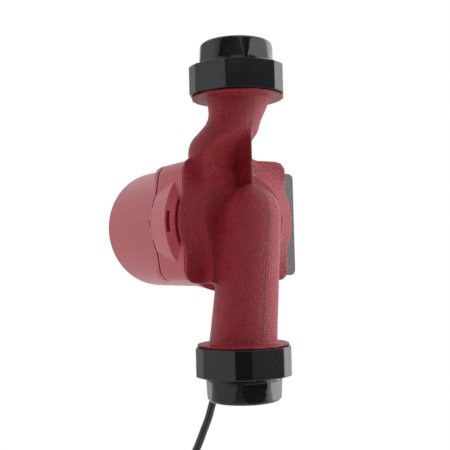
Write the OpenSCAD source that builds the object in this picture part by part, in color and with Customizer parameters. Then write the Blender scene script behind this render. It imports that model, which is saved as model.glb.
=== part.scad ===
// Wet rotor circulation pump with unions, terminal box and mains lead.
// The origin is the middle of the lower union's mouth. +Z runs up the pipe,
// -Y runs out along the motor, and the terminal box is on the -X side.

/* [Pipework] */
// Distance between the two port faces of the housing
port_length = 180; // [170:1:190]
// Outer radius of the port thread
port_thread_r = 23.9; // [23:0.1:25]
// Length of the port thread
port_thread_len = 11.7; // [10:0.1:13]
// Radius of the water way at the ports
port_bore_r = 16.4; // [14:0.1:17]
// Radius of the collar behind each thread
collar_r = 28.9; // [27:0.1:29]
// Thickness of that collar
collar_t = 1.4; // [1:0.1:2]
// Wall of the cast tubes
tube_wall = 3.6; // [3:0.1:4]

/* [Pump housing] */
// How far the plate stands above and below the motor's base
plate_over = 1; // [0:0.5:2]
// Thickness of the square plate
plate_t = 3; // [2.5:0.1:4]
// Radius of the corners of the plate
plate_corner_r = 7; // [5:1:9]
// Distance from the pipe axis to the joint with the motor
joint_u = 5.5; // [5:0.1:6]
// How far the round bulge behind the plate stands out from the plate's sides
bulge_out = 4; // [3:0.5:5]
// Radius of the raised pad
pad_r = 29; // [27:0.5:30]
// Height of the raised pad behind the pipe axis
pad_h = 6; // [5:0.5:7]
// How far the spigot that enters the motor stands out from the plate's sides
spigot_out = 2; // [1.5:0.1:2.5]
// Length of that spigot
spigot_len = 5.5; // [5:0.1:6]
// Wall of the spigot
spigot_wall = 3.6; // [3:0.1:4]
// Radius of the suction tube at its port
suction_base_r = 21.3; // [20.5:0.1:22]
// Radius of the suction tube at its dome
suction_top_r = 17.9; // [17.5:0.1:19]
// How far the suction tube leans back at its dome
suction_lean = 13.6; // [13:0.1:15]
// Radius of the discharge tube at its throat
discharge_r = 15.8; // [15.5:0.1:17]
// How far the discharge tube swings aside
discharge_side = 20; // [18:0.5:21]
// Thickness of the web between the tubes
web_t = 1.8; // [1.5:0.1:3]

/* [Unions] */
// Length of a union nut
nut_len = 18; // [17:0.5:19]
// Radius of a union nut over its corners
nut_corner_r = 31.4; // [31:0.1:33]
// Angle that one wide face of the nut takes
nut_face_angle = 42; // [40:1:46]
// Thickness of the flat union gasket
union_gasket_t = 2; // [1.5:0.1:2.5]
// Thickness of the flange of a tail
tail_flange_t = 1.2; // [1:0.1:1.5]
// Thickness of the snap ring behind that flange
snap_t = 1.2; // [1:0.1:1.4]
// Radius of a tail at the nut
tail_base_r = 24.07; // [23.8:0.01:24.5]
// Radius of a tail at its mouth
tail_end_r = 23.15; // [22.9:0.01:23.5]
// Length of a tail outside its nut
tail_out = 15.8; // [15:0.1:18]
// Radius of the pipe thread in a tail
pipe_thread_r = 15.15; // [15:0.01:15.3]
// Depth of the pipe thread in a tail
pipe_thread_len = 14; // [13:0.5:15]
// Radius of the water way through a tail
tail_bore_r = 13; // [12:0.5:14]
// Distance of the wrench flats from the axis of a tail
tail_flat_r = 22.65; // [22.5:0.05:22.9]

/* [Motor] */
// Width and height of the square base
base_w = 76; // [75:0.5:78]
// Front of the square base from the pipe axis
base_front_u = 44; // [43:0.5:46]
// Radius of the corners of the base
base_corner_r = 8; // [7:0.5:9]
// How far the motor barrel stands out from the sides of the base
barrel_out = 4.2; // [4:0.1:5]
// Front of the motor barrel from the pipe axis
barrel_front_u = 115; // [112:1:120]
// Rounding of the front rim
barrel_rim_r = 4; // [3:0.5:5]
// Wall of the motor barrel
barrel_wall = 4.7; // [4.4:0.1:5.2]
// How far the drip flare's lip stands out from the sides of the base
flare_out = 7.7; // [7:0.1:8]
// Radius of the stator bore
stator_bore_r = 18.4; // [18.2:0.1:19]
// Length of the laminated stator core
stator_len = 46; // [42:1:48]
// Wall of the rotor can
can_wall = 0.6; // [0.5:0.1:0.8]
// Inner radius of the rotor can
can_r = 17.4; // [17.2:0.1:17.6]
// Radius of the rotor
rotor_r = 16.8; // [16.5:0.1:17]
// Radius of the shaft
shaft_r = 4; // [3.8:0.1:4.2]
// Outer radius of the bearings
bearing_r = 7.5; // [7:0.1:8]
// Radius of the impeller
impeller_r = 25; // [23:0.5:26]
// Number of impeller blades
blade_count = 6; // [5:1:7]

/* [Screws] */
// Distance of a housing screw from the sides of the base
screw_inset = 5.4; // [5.2:0.1:5.5]
// Radius of a housing screw
screw_r = 2; // [1.9:0.1:2.1]
// Radius of its head
screw_head_r = 3.5; // [3.3:0.1:3.6]
// Height of its head
screw_head_h = 4; // [3.5:0.1:4.5]
// Radius of the vent screw's thread
vent_r = 6; // [5.5:0.1:6.5]
// Radius of the vent screw's head
vent_head_r = 10; // [9:0.5:12]

/* [Terminal box] */
// Outer face of the terminal box from the motor axis
box_side = 72; // [70:1:74]
// Height of the terminal box
box_h = 73; // [71:1:75]
// Back of the terminal box from the pipe axis
box_back_u = 41; // [40:0.5:41.5]
// Depth of the terminal box without its cover
box_depth = 60; // [58:1:62]
// Depth of the cover
cover_depth = 9; // [8:0.5:10]
// Wall of the terminal box
box_wall = 2.4; // [2:0.1:2.8]
// Radius of the corners of the terminal box
box_corner_r = 4; // [3:0.5:5]
// Radius of the speed knob
knob_r = 10; // [9:0.5:11]
// Height of the speed knob
knob_h = 9; // [8:0.5:10]
// Radius of the speed knob's stem
knob_stem_r = 3; // [2.8:0.1:3.2]

/* [Cord] */
// Diameter of the mains lead
cord_d = 5.8; // [5.6:0.1:6]
// Gland axis from the motor axis
gland_side = 55; // [54:0.5:56]
// Gland axis from the front edge of the terminal box
gland_inset = 10; // [9:0.5:11]
// Turns in the put away coil
coil_turns = 6; // [4:2:8]
// Smallest radius of the coil
coil_inner_r = 23.4; // [23.2:0.1:25]
// Distance between neighbouring turns and layers
coil_pitch = 6.4; // [6.3:0.1:6.6]
// Radius of the plug body
plug_r = 18.5; // [18:0.5:20]
// Length of the plug body
plug_len = 34; // [32:1:38]
// Radius of the plug pins
plug_pin_r = 2.4; // [2.3:0.1:2.5]
// Length of the plug pins
plug_pin_len = 19; // [18:0.5:20]

/* [Hidden] */

$fn = 64;
// Overrun of every cut
cut = 0.5;
// Gap between a fixed piece and the hollow that it sits in
seat_gap = 0.1;
// Radial gap of a running fit
running_gap = 0.04;
// Gap between screwed surfaces that turn on each other
thread_gap = 0.15;
// Gap between faces of pieces that move past each other
face_gap = 0.3;

// Sides of the cord
cord_sides = 10;

// Heights, measured from the motor axis along the pipe
port_z = port_length / 2;
collar_z = port_z - port_thread_len - collar_t;
nut_z = port_z - port_thread_len + seat_gap + seat_gap;
nut_end_z = nut_z + nut_len;
tail_z = port_z + union_gasket_t;
snap_z = tail_z + tail_flange_t;
lip_z = snap_z + snap_t;
tail_end_z = nut_end_z + tail_out;
motor_z = tail_end_z;

// The round pieces of the pump and the motor follow the square base
plate_w = base_w;
plate_h = base_w + plate_over + plate_over;
bulge_r = base_w / 2 + bulge_out;
spigot_r = base_w / 2 + spigot_out;
barrel_r = base_w / 2 + barrel_out;
barrel_inner_r = barrel_r - barrel_wall;

// Radii inside a union
lip_r = port_thread_r - 1.5;
tail_flange_r = lip_r - face_gap;
snap_groove_r = tail_flange_r - 1.6;
snap_outer_r = port_thread_r - face_gap;
tail_shoulder_gap = 0.1;
nut_chamfer = 0.8;
tail_band = 3;
tail_rim_r = 1.5;
tail_flat_count = 8;
// Direction of a corner strip of each nut and of a flat of each tail
discharge_nut_turn = 54.3;
suction_nut_turn = 57.5;
discharge_flat_turn = 4.2;
suction_flat_turn = 28.8;

// Water ways of the housing, along the motor axis from the pipe axis
spigot_end_u = joint_u + spigot_len;
chamber_r = spigot_r - spigot_wall;
chamber_back_u = 3.2;
eye_chamber_r = impeller_r + 2;
eye_chamber_u = -1.5;
wear_seat_r = 13;
wear_seat_len = 3.5;
eye_r = 11;
eye_depth = 9;
bulge_rise = 3.5;
bulge_run = 11;
pad_half_w = 25;
boss_r = 4;
boss_end_u = joint_u + 4.5;
// Lean and radius of the suction bore at the dome
suction_bore_lean = 16.5;
suction_bore_r = 12;
bore_clear = 0.6;

// The suction tube's bore leans further back, to make room for the impeller
dome_angles = [0 : 15 : 90];
dome_z = 3;
// Shares of the fall from the discharge collar to the volute, one row a bend:
// height, sideways, forwards and radius
discharge_shares = [[-0.015, 0, 0, 1.27], [0.31, 0.14, 0, 1.01], [0.53, 0.4, 0.5, 0.96],
                    [0.75, 0.825, 1, 0.98], [1, 0.85, 0.75, 0.82]];
discharge_foot_z = 30;
discharge_forward = 4;
// The tube's back is flat where it runs down on to the plate
channel_rise = 4.5;
channel_low_z = 40;
channel_top_rise = 15.2;
channel_top_z = 57;
// Clearance around the motor's flare, and the front walls of the discharge bore
flare_gap = 1;
front_clear = 0.5;
joint_over = 0.2;
throat_u = 1;
throat_w = 26;
throat_h = 20;

// Web between the dome and the discharge tube
web_back = 15;
web_top_z = 60;

// Motor, measured along the motor axis from the pipe axis
flare_r = base_w / 2 + flare_out;
flare_back_u = 9.5;
flare_back_wall = 1.6;
flare_lip_u = 15.5;
flare_foot_r = base_w / 2;
gasket_t = 1.5;
can_flange_t = 1;
can_flange_u = spigot_end_u + gasket_t;
ledge_u = can_flange_u + can_flange_t;
stator_u = 31;
motor_wall = 5;
face_rim = 9.2;
face_recess_r = barrel_r - face_rim;
face_recess = 1;
winding_space = 3.5;
winding_r = barrel_inner_r - winding_space;
winding_len = 13;
stator_slots = 12;
slot_r = 3.2;
can_end_u = 98;
can_neck_u = 86;
vent_boss_r = 13;
rotor_u = 34;
rotor_len = 42;
end_ring_t = 2.5;
shaft_back_u = -1;
shaft_front_u = 95;
inner_bearing_u = 13;
inner_bearing_len = 12;
front_bearing_u = 87;
front_bearing_len = 9;
thrust_t = 3;
plate_rim_t = 1.5;
hub_r = 9.6;
shroud_t = 1.2;
impeller_back_u = 9;
blade_t = 1.2;
blade_arc_r = 22;
impeller_eye_r = 9.5;
screw_end_u = 4.5;
screw_at = base_w / 2 - screw_inset;
screw_pocket_u = 34;
// Slits of the front corners, on a steep cone
slit_t = 1.1;
slit_depth = 2.5;
slit_inner_share = 0.53;
slit_outer_share = 0.683;
slit_back_u = 36;
slit_front_u = 42.5;
drain_len = 13;
drain_w = 1.7;
drain_u = 12.8;
weep_len = 4;
weep_w = 1;

// Vent screw
vent_head_t = 3;
vent_slot_w = 1.6;
vent_slot_depth = 1.4;
vent_stem_end_u = 100;
vent_ring_r = 1;
nameplate_t = 0.6;

// Terminal box, along the motor axis and beside it
box_screw_share = 0.356;
knob_share = 0.22;
cover_screw_inset = 6.5;
box_front_u = box_back_u + box_depth;
gland_u = box_front_u - gland_inset;
box_lap = 11.2;
box_inner_side = barrel_r - box_lap;
box_gasket_t = 1;
cover_u = box_front_u + box_gasket_t;
cover_front_u = cover_u + cover_depth;
box_mid = (box_side + barrel_r) / 2;
box_boss_r = 3.2;
box_screw_r = 1.5;
box_screw_head_r = 2.8;
box_screw_head_h = 2;
box_screw_u = 62;
box_screw_z = box_h * box_screw_share;
duct_r = 6;
duct_u = 84;
grommet_lip = 1.5;
cover_screw_z = box_h / 2 - cover_screw_inset;
post_clear_z = cover_screw_z - box_boss_r - seat_gap;
knob_z = box_h * knob_share;
knob_web = 2.4;
switch_w = 16;
switch_h = 22;
switch_len = 16;
block_w = 12;
block_share = 0.524;
block_h = 2 * post_clear_z * block_share;
block_len = 10;
capacitor_r = 9;
capacitor_share = 0.375;
capacitor_len = 2 * post_clear_z * capacitor_share;
capacitor_u = 67;

// Cord entry, going down
gland_hex_r = 9.2;
gland_hex_h = 5;
gland_thread_r = 7;
gland_in = 6;
gland_nut_h = 9;
gland_nut_r = 8.6;
relief_len = 24;
relief_base_r = 5.2;
relief_end_r = 3.9;
gland_bore_r = cord_d / 2;
gland_z = motor_z - box_h / 2;
relief_z = gland_z - gland_hex_h - gland_nut_h;

// The lead hangs in one upright plane. Its points are pairs: out along the
// heading from the gland axis, and height
cord_heading = -33;
lead_route = [[0, 38], [0.5, 32], [3, 25], [6.5, 17], [10.5, 8], [15, -2], [19, -11],
              [22.5, -21], [25.5, -31], [29.5, -41], [34, -52], [39, -62], [45, -74], [52, -88]];
lead_end_lean = 28;
end_route = [[61, -105], [64.5, -114], [66.5, -123], [67, -132]];
coil_sides = 6;
coil_steps = 24;
climb_share = 0.5;
tie_w = 6;
tie_t = 1.4;
plug_relief_len = 26;
plug_relief_end_r = 3.8;
plug_relief_base_r = 7;
plug_pin_gap = 9.5;
plug_clip_w = 5;
plug_clip_t = 1;
plug_clip_len = 26;

function lerp(a, b, t) = a + (b - a) * t;

// Puts its children on the motor axis, with their z pointing out of the pump
module along_motor() translate([0, 0, motor_z]) rotate([90, 0, 0]) children();

// Puts its children upright on the pipe, with z counted from the motor axis
module on_pipe() translate([0, 0, motor_z]) children();

module tube(r, inner, h) {
    difference() {
        cylinder(r = r, h = h);
        translate([0, 0, -cut]) cylinder(r = inner, h = h + cut + cut);
    }
}

module rounded_square(w, h, r) {
    union() {
        square([w - r - r, h], center = true);
        square([w, h - r - r], center = true);
        for (x = [-1, 1], y = [-1, 1])
            translate([x * (w / 2 - r), y * (h / 2 - r)]) circle(r = r);
    }
}

module four_corners(at) {
    for (x = [-1, 1], y = [-1, 1]) translate([x * at, y * at, 0]) children();
}

// A closed skin over rings of points, each ring with the same count
module skin(rings) {
    count = len(rings[0]);
    last = len(rings) - 1;
    points = [for (ring = rings) for (p = ring) p];
    walls = [for (i = [0 : last - 1]) for (k = [0 : count - 1])
        let (a = i * count + k, b = i * count + (k + 1) % count)
        each [[a, b, b + count], [a, b + count, a + count]]];
    caps = [[for (k = [count - 1 : -1 : 0]) k], [for (k = [0 : count - 1]) last * count + k]];
    polyhedron(points = points, faces = [for (f = concat(caps, walls)) [f[2], f[1], f[0],
        for (k = [len(f) - 1 : -1 : 3]) f[k]]], convexity = 8);
}

function unit(v) = v / norm(v);

// Rings of a round tube that follows points, each ring square to the path
function path_rings(path, radii, sides, side) =
    [for (i = [0 : len(path) - 1])
        let (a = path[max(i - 1, 0)], b = path[min(i + 1, len(path) - 1)],
             along = unit(b - a), up = unit(cross(side, along)), out = unit(cross(along, up)))
        [for (k = [0 : sides - 1]) let (t = 360 * k / sides)
            path[i] + radii[i] * (cos(t) * out + sin(t) * up)]];

// PUMP HOUSING

// A round taper with a domed end
module domed_cone(base_r, top_r, length) {
    rotate_extrude() polygon(concat([[0, 0], [base_r, 0]],
        [for (a = dome_angles) [top_r * cos(a), length + top_r * sin(a)]]));
}

// The motor's square base and flare stand in front of the joint plane, so what
// would meet them is cut away
module clear_of_motor(front_u, gap) {
    difference() {
        children();
        rotate([90, 0, 0]) {
            translate([0, 0, flare_back_u - gap]) cylinder(r = flare_r + gap, h = port_z);
            translate([-base_w / 2 - gap, -base_w / 2 - gap, front_u])
                cube([base_w + gap + gap, base_w + gap + gap, port_z]);
        }
    }
}

// Leans back on its way up from the suction port
module suction_tube(base_r, top_r, lean) {
    translate([0, 0, -collar_z]) rotate([-atan2(lean, dome_z + collar_z), 0, 0])
        domed_cone(base_r, top_r, norm([lean, dome_z + collar_z]));
}

// Swings aside on its way down from the discharge port
module discharge_tube(wall) {
    bends = [for (s = discharge_shares) [discharge_side * s[1], -discharge_forward * s[2],
        lerp(collar_z, discharge_foot_z, s[0])]];
    radii = [for (s = discharge_shares) discharge_r * s[3] - wall];
    difference() {
        for (i = [0 : len(bends) - 2]) let (way = bends[i + 1] - bends[i]) {
            translate(bends[i]) rotate([0, acos(way[2] / norm(way)), atan2(way[1], way[0])])
                cylinder(r1 = radii[i], r2 = radii[i + 1], h = norm(way));
            translate(bends[i + 1]) sphere(r = radii[i + 1] + joint_over);
        }
        translate([-port_length / 2, -wall, 0]) rotate([90, 0, 90]) linear_extrude(port_length)
            polygon([[channel_rise, 0], [channel_rise, channel_low_z],
                     [channel_top_rise, channel_top_z], [port_length, channel_top_z], [port_length, 0]]);
    }
}

module port() {
    translate([0, 0, collar_z]) cylinder(r = collar_r, h = collar_t);
    translate([0, 0, collar_z]) cylinder(r = port_thread_r, h = port_z - collar_z);
}

module housing_plate() {
    along_motor() {
        translate([0, 0, joint_u - plate_t]) linear_extrude(plate_t)
            rounded_square(plate_w, plate_h, plate_corner_r);
        translate([0, 0, joint_u - plate_t]) cylinder(r = bulge_r, h = plate_t);
        translate([0, 0, -bulge_rise])
            cylinder(r1 = bulge_r - bulge_run, r2 = bulge_r, h = bulge_rise + joint_u - plate_t);
        translate([0, 0, -pad_h]) cylinder(r = pad_r, h = pad_h);
        translate([-pad_half_w, -plate_h / 2, -pad_h])
            cube([pad_half_w + pad_half_w, plate_h / 2, pad_h + joint_u]);
        translate([0, 0, joint_u]) cylinder(r = spigot_r, h = spigot_len);
        four_corners(screw_at) translate([0, 0, joint_u]) cylinder(r = boss_r, h = boss_end_u - joint_u);
    }
}

module web() {
    translate([-web_t / 2, 0, 0]) rotate([90, 0, 90]) linear_extrude(web_t)
        polygon([[-joint_u + plate_t, dome_z], [web_back, dome_z + suction_top_r / 2],
                 [web_back, web_top_z], [0, web_top_z + web_back]]);
}

module pump_housing() {
    color([0.62, 0.06, 0.1]) difference() {
        union() {
            housing_plate();
            on_pipe() {
                clear_of_motor(joint_u - front_clear, flare_gap) {
                    suction_tube(suction_base_r, suction_top_r, suction_lean);
                    discharge_tube(0);
                }
                web();
                port();
                mirror([0, 0, 1]) port();
            }
        }
        along_motor() {
            // Volute chamber, impeller eye and the seat of the wear ring
            translate([0, 0, chamber_back_u])
                cylinder(r = chamber_r, h = spigot_end_u - chamber_back_u + cut);
            translate([0, 0, eye_chamber_u])
                cylinder(r = eye_chamber_r, h = chamber_back_u - eye_chamber_u + cut);
            intersection() {
                translate([0, 0, throat_u]) cylinder(r = chamber_r, h = chamber_back_u);
                translate([discharge_side - throat_w / 2, chamber_r - throat_h, 0])
                    cube([throat_w, throat_h, spigot_end_u]);
            }
            translate([0, 0, eye_chamber_u - wear_seat_len])
                cylinder(r = wear_seat_r, h = wear_seat_len + cut);
            translate([0, 0, eye_chamber_u - eye_depth]) cylinder(r = eye_r, h = eye_depth);
            four_corners(screw_at) translate([0, 0, screw_end_u - cut])
                cylinder(r = screw_r, h = boss_end_u - screw_end_u + cut + cut);
        }
        on_pipe() {
            clear_of_motor(eye_chamber_u - tube_wall / 2, flare_gap + tube_wall / 2)
                suction_tube(port_bore_r - bore_clear, suction_bore_r, suction_bore_lean);
            clear_of_motor(joint_u - tube_wall / 2, flare_gap + tube_wall / 2)
                discharge_tube(tube_wall + bore_clear);
            for (m = [0, 1]) mirror([0, 0, m]) translate([0, 0, collar_z - cut])
                cylinder(r = port_bore_r, h = port_z - collar_z + cut + cut);
        }
    }
}

// HYDRAULICS AND ROTOR

module wear_ring() {
    color([0.75, 0.76, 0.78]) along_motor() translate([0, 0, eye_chamber_u - wear_seat_len])
        tube(wear_seat_r - seat_gap, eye_r, wear_seat_len);
}

module impeller_blade() {
    intersection() {
        difference() {
            circle(r = impeller_r - seat_gap);
            circle(r = eye_r);
        }
        translate([blade_arc_r / 2, -blade_arc_r]) difference() {
            circle(r = blade_arc_r);
            circle(r = blade_arc_r - blade_t);
        }
        translate([0, -impeller_r / 2]) square([impeller_r, impeller_r + impeller_r / 2]);
    }
}

module impeller() {
    front_u = chamber_back_u - shroud_t;
    color([0.82, 0.82, 0.78]) along_motor() difference() {
        union() {
            translate([0, 0, impeller_back_u - shroud_t]) cylinder(r = impeller_r, h = shroud_t);
            translate([0, 0, front_u - shroud_t]) tube(impeller_r, impeller_eye_r, shroud_t);
            translate([0, 0, eye_chamber_u - wear_seat_len + shroud_t])
                tube(eye_r - seat_gap, impeller_eye_r, front_u - eye_chamber_u + wear_seat_len - shroud_t);
            translate([0, 0, front_u - cut]) linear_extrude(impeller_back_u - front_u)
                for (i = [0 : blade_count - 1]) rotate(360 * i / blade_count) impeller_blade();
            translate([0, 0, shaft_back_u]) cylinder(r = shaft_r + blade_t + blade_t,
                h = impeller_back_u - shaft_back_u);
        }
        translate([0, 0, shaft_back_u - cut])
            cylinder(r = shaft_r, h = impeller_back_u - shaft_back_u + 2 * cut);
    }
}

module shaft() {
    color([0.93, 0.92, 0.88]) along_motor() translate([0, 0, shaft_back_u])
        cylinder(r = shaft_r, h = shaft_front_u - shaft_back_u);
}

module rotor_core() {
    color([0.5, 0.51, 0.53]) along_motor() translate([0, 0, rotor_u])
        tube(rotor_r, shaft_r, rotor_len);
}

module rotor_end_rings() {
    color([0.7, 0.71, 0.73]) along_motor() {
        translate([0, 0, rotor_u - end_ring_t]) tube(rotor_r - blade_t, shaft_r, end_ring_t);
        translate([0, 0, rotor_u + rotor_len]) tube(rotor_r - blade_t, shaft_r, end_ring_t);
    }
}

module thrust_bearing() {
    // The disc runs against the inner bearing's front face
    color([0.2, 0.2, 0.21]) along_motor()
        translate([0, 0, inner_bearing_u + inner_bearing_len + running_gap])
        tube(bearing_r, shaft_r, thrust_t);
}

module bearing(at_u, length) {
    color([0.9, 0.89, 0.84]) along_motor() translate([0, 0, at_u])
        tube(bearing_r, shaft_r + running_gap, length);
}

module inner_bearing() bearing(inner_bearing_u, inner_bearing_len);

module front_bearing() bearing(front_bearing_u, front_bearing_len);

module bearing_plate() {
    plate_u = can_flange_u - plate_rim_t;
    color([0.75, 0.76, 0.78]) along_motor() difference() {
        union() {
            translate([0, 0, plate_u]) cylinder(r = chamber_r - seat_gap, h = plate_rim_t);
            translate([0, 0, plate_u]) cylinder(r = hub_r,
                h = inner_bearing_u + inner_bearing_len - plate_u);
        }
        translate([0, 0, inner_bearing_u]) cylinder(r = bearing_r, h = inner_bearing_len + cut);
        translate([0, 0, plate_u - cut])
            cylinder(r = shaft_r + face_gap, h = inner_bearing_u - plate_u + 2 * cut);
    }
}

module housing_gasket() {
    color([0.12, 0.12, 0.12]) along_motor() translate([0, 0, spigot_end_u])
        tube(spigot_r, chamber_r, gasket_t);
}

module rotor_can() {
    neck_r = bearing_r + seat_gap;
    color([0.8, 0.81, 0.83]) along_motor() rotate_extrude()
        polygon([[can_r, can_flange_u], [spigot_r, can_flange_u],
                 [spigot_r, ledge_u], [can_r + can_wall, ledge_u],
                 [can_r + can_wall, can_neck_u], [neck_r + can_wall, can_neck_u],
                 [neck_r + can_wall, can_end_u], [shaft_r, can_end_u],
                 [shaft_r, can_end_u - can_wall], [neck_r, can_end_u - can_wall],
                 [neck_r, can_neck_u - can_wall], [can_r, can_neck_u - can_wall]]);
}

// MOTOR

module base_outline() rounded_square(base_w, base_w, base_corner_r);

// A thin slanted cut that opens only through the flat faces of the base
module corner_slits() {
    difference() {
        rotate_extrude() polygon([[base_w * slit_inner_share, slit_front_u],
                                  [base_w * slit_outer_share, slit_back_u],
                                  [base_w * slit_outer_share, slit_back_u + slit_t],
                                  [base_w * slit_inner_share, slit_front_u + slit_t]]);
        translate([0, 0, base_front_u / 2])
            cube([base_w - slit_depth - slit_depth, base_w - slit_depth - slit_depth, base_front_u * 2],
                center = true);
        for (turn = [0, 90]) rotate(turn)
            translate([0, 0, base_front_u / 2])
                cube([base_w * 2, barrel_r / 2, base_front_u * 2], center = true);
    }
}

module stator_housing() {
    color([0.66, 0.16, 0.2]) along_motor() difference() {
        union() {
            translate([0, 0, joint_u]) linear_extrude(base_front_u - joint_u) base_outline();
            rotate_extrude() polygon([[flare_foot_r - motor_wall, flare_back_u],
                                      [spigot_r + flare_back_wall, flare_back_u], [flare_r, flare_lip_u],
                                      [barrel_r, base_front_u],
                                      [flare_foot_r - motor_wall, base_front_u]]);
            translate([0, 0, base_front_u - cut])
                cylinder(r = barrel_r, h = barrel_front_u - base_front_u - barrel_rim_r + cut);
            translate([0, 0, barrel_front_u - barrel_rim_r])
                cylinder(r = barrel_r - barrel_rim_r, h = barrel_rim_r);
            translate([0, 0, barrel_front_u - barrel_rim_r]) rotate_extrude()
                translate([barrel_r - barrel_rim_r, 0]) intersection() {
                    circle(r = barrel_rim_r);
                    square(barrel_rim_r);
                }
        }
        // Hollow for the stator, seat of the can, and the front face
        difference() {
            translate([0, 0, ledge_u]) cylinder(r = barrel_inner_r,
                h = barrel_front_u - motor_wall - ledge_u);
            translate([0, 0, vent_stem_end_u]) cylinder(r = vent_boss_r, h = barrel_front_u);
        }
        translate([0, 0, joint_u - cut]) cylinder(r = spigot_r + seat_gap, h = ledge_u - joint_u + cut);
        translate([0, 0, barrel_front_u - face_recess]) cylinder(r = face_recess_r, h = face_recess + cut);
        translate([0, 0, vent_stem_end_u - cut])
            cylinder(r = vent_r + thread_gap, h = barrel_front_u - vent_stem_end_u);
        // Screw pockets and the housing's bosses
        four_corners(screw_at) {
            translate([0, 0, joint_u - cut]) cylinder(r = screw_r + seat_gap + seat_gap, h = base_front_u);
            translate([0, 0, joint_u - cut])
                cylinder(r = boss_r + face_gap, h = boss_end_u - joint_u + face_gap + cut);
            translate([0, 0, screw_pocket_u]) cylinder(r = screw_head_r + face_gap, h = base_front_u);
        }
        corner_slits();
        for (turn = [0 : 90 : 270]) rotate(turn) {
            translate([spigot_r + flare_back_wall, -drain_len / 2, drain_u])
                cube([flare_r, drain_len, drain_w]);
            translate([base_w / 2 - slit_depth, -weep_len / 2, base_front_u - weep_w])
                cube([flare_r, weep_len, weep_w]);
        }
        // The wires' duct to the terminal box
        rotate([0, -90, 0]) translate([duct_u, 0, barrel_inner_r - cut]) cylinder(r = duct_r, h = barrel_r);
        for (z = [-1, 1]) rotate([0, -90, 0]) translate([box_screw_u, z * box_screw_z, 0])
            cylinder(r = box_screw_r, h = barrel_r);
    }
}

module stator_core() {
    color([0.42, 0.42, 0.44]) along_motor() translate([0, 0, stator_u]) difference() {
        tube(barrel_inner_r - seat_gap, stator_bore_r, stator_len);
        for (i = [0 : stator_slots - 1]) rotate(360 * i / stator_slots)
            translate([(stator_bore_r + barrel_inner_r) / 2 - slot_r, 0, -cut])
            cylinder(r = slot_r, h = stator_len + cut + cut);
    }
}

module stator_windings() {
    inner = stator_bore_r + slot_r / 2;
    color([0.72, 0.4, 0.16]) along_motor() {
        for (at = [stator_u - winding_len, stator_u + stator_len]) translate([0, 0, at]) difference() {
            rotate_extrude() polygon([[inner, 0], [winding_r - slot_r, 0], [winding_r, slot_r],
                                      [winding_r, winding_len - slot_r], [winding_r - slot_r, winding_len],
                                      [inner, winding_len]]);
        }
        for (i = [0 : stator_slots - 1]) rotate(360 * i / stator_slots)
            translate([(stator_bore_r + barrel_inner_r) / 2 - slot_r, 0, stator_u])
            cylinder(r = slot_r - seat_gap, h = stator_len);
    }
}

module housing_screws() {
    color([0.7, 0.71, 0.72]) along_motor() four_corners(screw_at) {
        translate([0, 0, screw_end_u])
            cylinder(r = screw_r - seat_gap / 2, h = screw_pocket_u - screw_end_u);
        translate([0, 0, screw_pocket_u]) difference() {
            cylinder(r = screw_head_r, h = screw_head_h);
            translate([0, 0, screw_head_h / 2]) cylinder(r = screw_r - seat_gap, h = screw_head_h, $fn = 6);
        }
    }
}

module nameplate() {
    color([0.82, 0.83, 0.84]) along_motor() translate([0, 0, barrel_front_u - face_recess])
        tube(face_recess_r - seat_gap, vent_head_r + face_gap + face_gap, nameplate_t);
}

module vent_screw() {
    head_u = barrel_front_u - face_recess + vent_ring_r + vent_ring_r;
    color([0.83, 0.76, 0.5]) along_motor() difference() {
        union() {
            translate([0, 0, head_u]) cylinder(r = vent_head_r, h = vent_head_t);
            translate([0, 0, vent_stem_end_u]) cylinder(r = vent_r, h = head_u - vent_stem_end_u);
        }
        translate([-vent_head_r - cut, -vent_slot_w / 2, head_u + vent_head_t - vent_slot_depth])
            cube([vent_head_r * 2 + cut * 2, vent_slot_w, vent_slot_depth + cut]);
    }
}

module vent_seal() {
    color([0.1, 0.1, 0.1]) along_motor() translate([0, 0, barrel_front_u - face_recess])
        tube(vent_r + running_gap + vent_ring_r + vent_ring_r, vent_r + running_gap,
            vent_ring_r + vent_ring_r - running_gap);
}

// TERMINAL BOX

// Outline seen from the front, between the barrel and the outer side
module box_outline(inset) {
    w = box_side - box_inner_side;
    translate([-box_inner_side - w / 2, 0])
        rounded_square(w - inset - inset, box_h - inset - inset, box_corner_r - min(inset,
            box_corner_r / 2));
}

// Puts its children at each cover screw
module at_cover_screws() {
    for (z = [-1, 1])
        translate([-box_side + box_boss_r + box_wall / 2, z * cover_screw_z, 0]) children();
}

module terminal_box() {
    color([0.2, 0.2, 0.21]) difference() {
        along_motor() difference() {
            translate([0, 0, box_back_u]) linear_extrude(box_depth) box_outline(0);
            // Hollow, kept clear of the saddle on the barrel
            difference() {
                translate([0, 0, box_back_u + box_wall]) linear_extrude(box_depth) box_outline(box_wall);
                at_cover_screws() translate([0, 0, box_back_u]) cylinder(r = box_boss_r, h = box_depth + cut);
                cylinder(r = barrel_r + box_wall, h = barrel_front_u);
                translate([-base_w / 2 - box_wall, -base_w, 0])
                    cube([base_w, base_w * 2, base_front_u + box_wall]);
            }
            cylinder(r = barrel_r + seat_gap, h = barrel_front_u);
            translate([-base_w / 2 - seat_gap, -base_w, 0]) cube([base_w, base_w * 2, base_front_u]);
            // Clear of the drip flare
            rotate_extrude() polygon([[0, flare_lip_u], [flare_r + seat_gap, flare_lip_u],
                                      [barrel_r + seat_gap, base_front_u + seat_gap],
                                      [0, base_front_u + seat_gap]]);
            rotate([0, -90, 0]) translate([duct_u, 0, 0]) cylinder(r = duct_r, h = box_mid);
            for (z = [-1, 1]) rotate([0, -90, 0]) translate([box_screw_u, z * box_screw_z, 0])
                cylinder(r = box_screw_r + seat_gap, h = box_mid);
            at_cover_screws() translate([0, 0, box_front_u - cover_depth - box_wall])
                cylinder(r = box_screw_r, h = box_front_u);
        }
        translate([-gland_side, -gland_u, gland_z - cut]) cylinder(r = gland_thread_r, h = box_h / 2);
    }
}

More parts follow.
